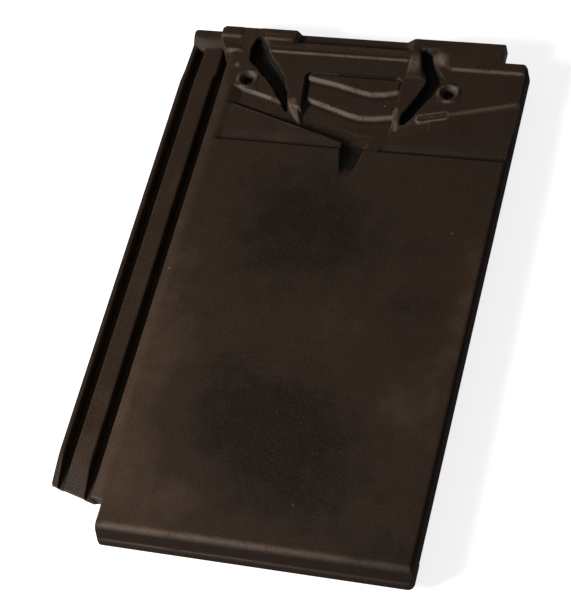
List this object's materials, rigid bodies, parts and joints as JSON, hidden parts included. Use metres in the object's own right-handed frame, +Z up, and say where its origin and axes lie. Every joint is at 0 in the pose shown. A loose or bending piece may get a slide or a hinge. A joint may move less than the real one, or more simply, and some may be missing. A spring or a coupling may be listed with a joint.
{
  "type": "clay roof tile",
  "caption": "Flat interlocking clay roof tile with a ribbed side lock, a cover flap, a guttered head, nail holes, hanging nibs and a rounded nose.",
  "frame": {"origin": "centre of the bounding box at floor level, with the tile lying on its underside", "axes": "+X to the right as seen from the nose, +Y up the slope from the nose to the head, +Z up through the weathered face"},
  "size_m": [0.286, 0.462, 0.026],
  "materials": {
    "clay": "satin, dark brown flashed engobe on fired clay"
  },
  "bodies": {
    "root": {"roof_tile": "clay"}
  },
  "joints": []
}
